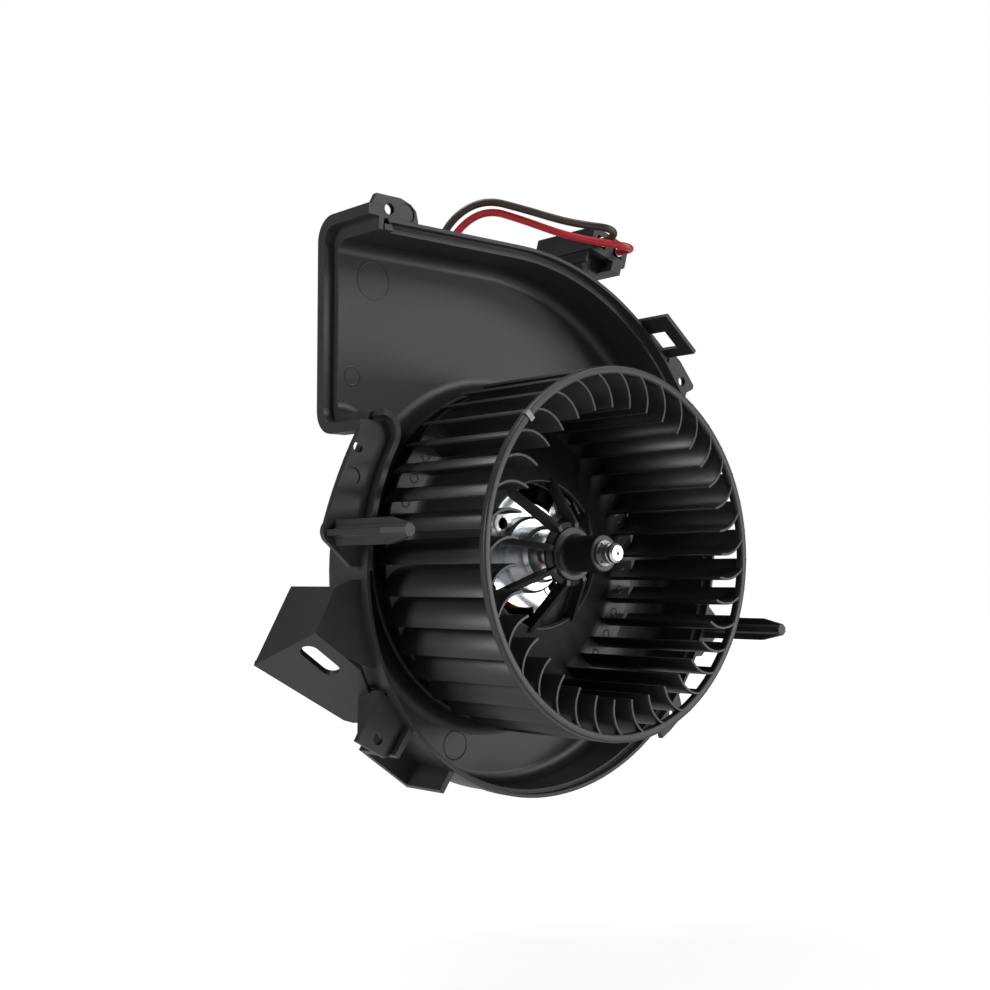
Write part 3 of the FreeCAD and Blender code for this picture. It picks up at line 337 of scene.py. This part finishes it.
def wheelMarks(m, colour):
    x, y, z = m.axes()
    level = near(y - wheel["disc"] * mm, discMarks["level"])
    pitch = 2 * math.pi / wheel["blades"]
    start = math.radians(wheel["phase"]) + discMarks["gapShare"] * pitch
    turns = (m.maths("ARCTAN2", z, x) - start) / pitch + (wheel["blades"] + 3.5)     # never below zero
    across = (m.maths("FRACT", turns) - 0.5) * (pitch * discMarks["circle"])
    out = apart(x, z) - discMarks["circle"]
    ring = near(apart(across, out) - discMarks["radius"], discMarks["width"]) * level
    return ring, m.mix(ring * discMarks["share"], colour, discMarks["pale"])


# Metals and plain parts: noises, depth of the bump, and how far tone and roughness vary
metalLook = {
    "lines": (300.0, 2.0, 0.5),
    "cloud": (35.0, 2.0, 0.5),
    "darker": 0.92,
    "vary": 0.1,
    "strength": 0.05,
    "depth": 0.00001,
    "edge": 0.0002,
}
plainLook = {
    "cloud": (60.0, 3.0, 0.5),
    "darker": 0.8,
    "vary": 0.1,
    "strength": 0.2,
}


def varied(m, pattern, middle, share):
    return m.spread(pattern, 0.3, 0.7, middle * (1 - share), middle * (1 + share))


def metal(name, colour, roughness, brushed=(1, 1, 1)):
    # Even metal with faint draw lines and slow changes of tone
    m = newMaker(name)
    lines = m.noise(metalLook["lines"], brushed)
    darker = tuple(c * metalLook["darker"] for c in colour)
    return m.end(m.surface(
        Base_Color=m.mix(m.noise(metalLook["cloud"]), darker, colour),
        Metallic=1.0,
        Roughness=varied(m, lines, roughness, metalLook["vary"]),
        Normal=m.bump(lines, metalLook["strength"], metalLook["depth"], m.softEdges(metalLook["edge"]))))


def plain(name, colour, roughness, grain=1200.0, depth=0.00003, metallic=0.0):
    # Even material with a cloudy tone and a fine grain
    m = newMaker(name)
    cloud = m.noise(plainLook["cloud"])
    darker = tuple(c * plainLook["darker"] for c in colour)
    return m.end(m.surface(
        Base_Color=m.mix(cloud, darker, colour),
        Metallic=metallic,
        Roughness=varied(m, cloud, roughness, plainLook["vary"]),
        Normal=m.bump(m.noise((grain, 2.0, 0.5)), plainLook["strength"], depth)))


finishes = {
    "black_housing": mouldedPlastic("housingBlack", housingPlastic, scrollMarks),
    "wheel_plastic": mouldedPlastic("wheelBlack", wheelPlastic, wheelMarks),
    "connector_plastic": mouldedPlastic("connectorBlack", connectorPlastic),
    "isolator_rubber": plain("isolatorRubber", (0.02, 0.02, 0.02), 0.7),
    "can_steel": metal("canSteel", (0.62, 0.63, 0.64), 0.3, (1, 8, 1)),
    "shield_steel": metal("shieldZinc", (0.74, 0.76, 0.78), 0.3, (2, 1, 2)),
    "magnet_ferrite": plain("magnetFerrite", (0.06, 0.06, 0.065), 0.6),
    "card_phenolic": plain("cardPhenolic", (0.2, 0.1, 0.05), 0.5),
    "holder_brass": metal("holderBrass", (0.7, 0.52, 0.25), 0.3),
    "spring_steel": metal("springSteel", (0.55, 0.55, 0.55), 0.3),
    "bearing_bronze": metal("bearingBronze", (0.42, 0.3, 0.17), 0.45),
    "brown_insulation": plain("brownInsulation", (0.052, 0.033, 0.03), 0.42, 800.0),
    "red_insulation": plain("redInsulation", (0.62, 0.04, 0.055), 0.36, 800.0),
    "terminal_tin": metal("terminalTin", (0.72, 0.72, 0.7), 0.25),
    "shaft_steel": metal("shaftSteel", (0.82, 0.82, 0.82), 0.34, (1, 10, 1)),
    "clip_steel": metal("clipSteel", (0.2, 0.2, 0.2), 0.45),
    "core_steel": metal("coreSteel", (0.3, 0.3, 0.31), 0.5, (1, 40, 1)),
    "winding_copper": plain("windingCopper", (0.3, 0.11, 0.04), 0.35, 500.0, 0.0001, 1.0),
    "commutator_copper": metal("commutatorCopper", (0.6, 0.32, 0.18), 0.3),
    "washer_fibre": plain("washerFibre", (0.3, 0.2, 0.13), 0.7),
    "brush_carbon": plain("brushCarbon", (0.03, 0.03, 0.03), 0.6),
}
slotOf = {part["node"]: part["material_slot"] for part in frame["record"]["subparts"]}
for name, obj in nodes.items():
    for index in range(len(obj.data.materials)):
        obj.data.materials[index] = finishes[slotOf[name]]
print("materials ready:", len(finishes))


def addObject(name, data, body, slotName):
    obj = bpy.data.objects.new(name, data)
    bpy.context.scene.collection.objects.link(obj)
    data.materials.clear()
    data.materials.append(finishes[slotName])
    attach(obj, body)
    return obj


def finishMesh(bm, name, degrees):
    # Cleans the faces, and shades them smooth but for edges sharper than the angle
    bmesh.ops.remove_doubles(bm, verts=bm.verts, dist=1e-6)
    bmesh.ops.recalc_face_normals(bm, faces=bm.faces)
    limit = math.radians(degrees)
    for face in bm.faces:
        face.smooth = True
    for edge in bm.edges:
        edge.smooth = len(edge.link_faces) == 2 and edge.calc_face_angle(0.0) < limit
    mesh = bpy.data.meshes.new(name)
    bm.to_mesh(mesh)
    bm.free()
    return mesh


def addWheelPiece(bm, name, degrees=wheel["softAngle"]):
    return addObject(name, finishMesh(bm, name, degrees), "rotor", "wheel_plastic")


def scaled(points):
    return [(r * mm, y * mm) for r, y in points]


def joinRows(bm, low, high):
    # Faces between two closed rows of points
    for k in range(len(low)):
        after = (k + 1) % len(low)
        bm.faces.new((low[k], low[after], high[after], high[k]))


def spin(bm, profile, steps):
    # A closed ring of faces from (radius, y) pairs turned about the wheel's axis
    rings = []
    for i in range(steps):
        a = 2 * math.pi * i / steps
        rings.append([bm.verts.new((r * math.cos(a), y, r * math.sin(a))) for r, y in profile])
    for here, there in zip(rings, rings[1:] + rings[:1]):
        for k in range(len(profile)):
            after = (k + 1) % len(profile)
            bm.faces.new((here[k], here[after], there[after], there[k]))


def rounded(points, radii, steps):
    # Replaces each corner of a closed outline, in mm, by an arc of its own radius; returns metres
    out = []
    points = [Vector(p) for p in scaled(points)]
    for i, here in enumerate(points):
        r = radii[i] * mm
        into = points[i - 1] - here
        away = points[(i + 1) % len(points)] - here
        room = 0.48 * min(into.length, away.length)
        into.normalize()
        away.normalize()
        half = into.angle(away) / 2
        if r <= 0 or half > 1.5:    # a sharp corner, or hardly a corner at all
            out.append(tuple(here))
            continue
        reach = min(r / math.tan(half), room)
        r = reach * math.tan(half)
        centre = here + (into + away).normalized() * (r / math.sin(half))
        start, end = here + into * reach - centre, here + away * reach - centre
        for k in range(steps + 1):
            out.append(tuple(centre + start.lerp(end, k / steps).normalized() * r))
    return out


def bladeOutline():
    # Section across one blade, with a round inner end and a thinner tip
    t = wheel["thickness"] / 2
    start = wheel["bladeStart"] + wheel["straight"]
    r = wheel["bend"]
    low, high = [], []
    for i in range(wheel["bendSteps"] + 1):
        share = i / wheel["bendSteps"]
        a = math.radians(wheel["bendAngle"] * share)
        thin = t * (1 - wheel["tipThinning"] * share)
        low.append((start + (r + thin) * math.sin(a), r - (r + thin) * math.cos(a)))
        high.append((start + (r - thin) * math.sin(a), r - (r - thin) * math.cos(a)))
    nose = []
    for i in range(wheel["noseSteps"] + 1):
        a = math.radians(90 + 180 * i / wheel["noseSteps"])
        nose.append((wheel["bladeStart"] + t + t * math.cos(a), t * math.sin(a)))
    return scaled(nose + low + high[::-1])


def drawnIn(outline, distance):
    # The outline moved inwards, so that a blade's front edge has no sharp corner
    out = []
    for k, (x, z) in enumerate(outline):
        along = (Vector(outline[(k + 1) % len(outline)]) - Vector(outline[k - 1])).normalized()
        out.append((x - along.y * distance, z + along.x * distance))
    return out


def buildBlades():
    bm = bmesh.new()
    outline = bladeOutline()
    edge = wheel["bladeEdge"] * mm
    front = (wheel["front"] + wheel["bladeSetback"]) * mm
    back = (wheel["disc"] + wheel["bladeRoot"]) * mm
    levels = [(front, drawnIn(outline, edge * wheel["edgeDraw"])), (front + edge, outline), (back, outline)]
    for i in range(wheel["blades"]):
        a = math.radians(wheel["phase"] + i * 360.0 / wheel["blades"])
        c, s = math.cos(a), math.sin(a)
        rows = [[bm.verts.new((x * c - z * s, y, x * s + z * c)) for x, z in section]
                for y, section in levels]
        for low, high in zip(rows, rows[1:]):
            joinRows(bm, low, high)
        bm.faces.new(rows[0])
        bm.faces.new(rows[-1][::-1])
    return addWheelPiece(bm, "wheelBlades")


def buildRing():
    bm = bmesh.new()
    inner, outer = wheel["radius"] - wheel["ring"], wheel["radius"]
    front, back = wheel["front"], wheel["front"] + wheel["ringLength"]
    corners = [(inner, front), (outer, front), (outer, back), (inner, back)]
    spin(bm, rounded(corners, wheel["ringRadii"], 5), wheel["rimSteps"])
    return addWheelPiece(bm, "wheelRing")


def buildDisc():
    # Flat disc drawn forward as a cone to the opening over the motor
    bm = bmesh.new()
    front, back = wheel["disc"], wheel["disc"] + wheel["discThickness"]
    tip = Vector(wheel["opening"])
    slope = (Vector((wheel["shoulder"], front)) - tip).normalized()
    offset = Vector((-slope.y, slope.x)) * wheel["wall"]
    inner = tip + offset + slope * ((back - offset.y - tip.y) / slope.y)
    outer = wheel["discRadius"]
    corners = [tip, (wheel["shoulder"], front), (outer, front), (outer, back), inner, tip + offset]
    small, edge = wheel["openingFillet"], wheel["discFillet"]
    radii = [small, wheel["fillet"], edge, edge, wheel["fillet"] - wheel["wall"], small]
    spin(bm, rounded(corners, radii, 10), wheel["rimSteps"])
    return addWheelPiece(bm, "wheelDisc")


def buildHub():
    bm = bmesh.new()
    spin(bm, rounded(wheel["hub"], wheel["hubRadii"], 5), wheel["hubSteps"])
    return addWheelPiece(bm, "wheelHub")


def prism(bm, outline, matrix, height):
    # Extrudes a closed outline in its own XY plane to both sides and places it
    low, high = [[bm.verts.new(matrix @ Vector((x, y, side * height / 2))) for x, y in outline]
                 for side in (-1, 1)]
    joinRows(bm, low, high)
    bm.faces.new(low[::-1])
    bm.faces.new(high)


def buildSpokes():
    bm = bmesh.new()
    outline = rounded(wheel["spoke"], wheel["spokeRadii"], 4)
    for i in range(wheel["spokes"]):
        turn = wheel["spokePhase"] + i * 360.0 / wheel["spokes"]
        about = Matrix.Rotation(-math.radians(turn), 4, "Y")     # from +X towards +Z
        prism(bm, outline, about, wheel["spokeWidth"] * mm)
    obj = addWheelPiece(bm, "wheelSpokes", 30)
    bevel = obj.modifiers.new("edges", "BEVEL")
    bevel.width = wheel["spokeEdge"] * mm
    bevel.segments = 2
    bevel.limit_method = "ANGLE"
    bevel.angle_limit = math.radians(30)
    bevel.harden_normals = True
    return obj


for piece in (buildBlades(), buildRing(), buildDisc(), buildHub(), buildSpokes()):
    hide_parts("blower_wheel")
print("wheel built")

# The two leads, with their routes in mm and their lengths in metres
leads = {
    "radius": 1.7 * mm,
    "sides": 6,
    "steps": 16,
    "length": {"brown": 0.2197, "red": 0.2206},
    "brown": [(-6.6, 68.0, 30.0), (-6.6, 67.9, 54.0), (-8.0, 65.5, 80.0), (-12.0, 61.0, 106.0),
              (-15.0, 53.0, 130.0), (-11.5, 45.5, 150.5), (2.0, 36.5, 161.8), (16.0, 23.5, 156.6),
              (26.5, 9.5, 150.4), (33.4, -1.0, 147.4), (38.8, -6.2, 146.4), (44.8, -5.3, 145.2),
              (47.51, 1.5, 143.42), (47.51, 7.5, 143.42)],
    "red": [(-0.6, 68.0, 30.0), (-0.6, 67.9, 54.0), (-2.5, 65.5, 80.0), (-7.0, 60.5, 105.0),
            (-10.5, 52.5, 127.0), (-8.5, 45.0, 146.0), (4.0, 37.0, 157.6), (17.0, 25.5, 152.2),
            (28.0, 14.0, 146.0), (37.5, 4.5, 142.4), (45.0, -3.2, 140.6), (51.0, -6.3, 139.8),
            (56.6, -4.0, 139.9), (58.09, 1.8, 140.38), (58.09, 7.4, 140.38)],
}


def buildLead(colour):
    name = "lead" + colour.capitalize()
    curve = bpy.data.curves.new(name, "CURVE")
    curve.dimensions = "3D"
    curve.bevel_depth = leads["radius"]
    curve.bevel_resolution = leads["sides"]
    curve.resolution_u = leads["steps"]
    curve.use_fill_caps = True
    spline = curve.splines.new("NURBS")
    points = [[v * mm for v in point] for point in leads[colour]]
    spline.points.add(len(points) - 1)
    for point, place in zip(spline.points, points):
        point.co = (*place, 1)
    spline.order_u = 3
    spline.use_endpoint_u = True
    obj = addObject(name, curve, "housing", colour + "_insulation")
    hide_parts("lead_" + colour)


buildLead("brown")
buildLead("red")
print("leads built")

studio = {
    "lamps": {
        "key": {"place": (1.1, -1.5, 1.15), "size": 0.9, "power": 19.0},
        "low": {"place": (1.25, -1.35, -0.05), "size": 0.4, "power": 8.0},
        "top": {"place": (-0.2, 0.3, 1.5), "size": 0.7, "power": 14.0},
        "left": {"place": (-1.7, 0.15, 0.35), "size": 0.5, "power": 13.0},
    },
    "aim": (0.0, 0.0, 0.02),
    "floor": -0.175,
    "halfFloor": 6.0,
    "floorTone": 0.82,
    "seen": 1.12,            # floor brightness to the camera, a little over white
    "near": 0.8,             # how much of the floor near the object is that plain white
    "fade": (0.25, 0.9),     # from here to there the rest of it comes in
    "mirrored": 0.35,        # its share in reflections
    "world": 0.03,
}


def addLamp(name, values):
    light = bpy.data.lights.new(name, "AREA")
    light.shape = "SQUARE"
    light.size = values["size"]
    light.energy = values["power"]
    obj = bpy.data.objects.new(name, light)
    obj.location = values["place"]
    away = Vector(values["place"]) - Vector(studio["aim"])
    obj.rotation_euler = away.to_track_quat("Z", "Y").to_euler()
    bpy.context.scene.collection.objects.link(obj)


for name, values in studio["lamps"].items():
    addLamp(name + "Lamp", values)


def floorMaterial():
    # Pale floor that reads as white to the camera and in reflections, and keeps a soft shadow
    m = newMaker("paleFloor")
    direct, mirrored, through = [m.node("ShaderNodeLightPath", {}, {}, name)
                                 for name in ("Is Camera Ray", "Is Glossy Ray", "Is Transmission Ray")]
    x, y, z = m.axes()
    share = m.spread(apart(x, y), *studio["fade"], studio["near"], 1.0)
    seen = (direct + mirrored * studio["mirrored"] + through).clamp() * share
    lit = m.surface(Base_Color=(*[studio["floorTone"]] * 3, 1), Roughness=0.9)
    glow = m.node("ShaderNodeEmission", {}, {"Color": (1, 1, 1, 1), "Strength": studio["seen"]})
    return m.end(m.node("ShaderNodeMixShader", {}, {0: seen, 1: lit, 2: glow}))


def buildFloor():
    bm = bmesh.new()
    bmesh.ops.create_grid(bm, x_segments=2, y_segments=2, size=studio["halfFloor"])
    mesh = bpy.data.meshes.new("floor")
    bm.to_mesh(mesh)
    bm.free()
    mesh.materials.append(floorMaterial())
    floor = bpy.data.objects.new("floor", mesh)
    floor.location.z = studio["floor"]
    bpy.context.scene.collection.objects.link(floor)


def buildWorld():
    # White to the camera, and a faint light on the object
    m = Maker(bpy.data.worlds.new("studioWorld"))
    direct = m.node("ShaderNodeLightPath", {}, {}, "Is Camera Ray")
    strength = m.spread(direct, 0.0, 1.0, studio["world"], 1.0)
    sky = m.node("ShaderNodeBackground", {}, {"Color": (1, 1, 1, 1), "Strength": strength})
    return m.end(sky, "ShaderNodeOutputWorld")


buildFloor()
bpy.context.scene.world = buildWorld()
bpy.context.scene.view_settings.view_transform = "Standard"
print("studio ready")
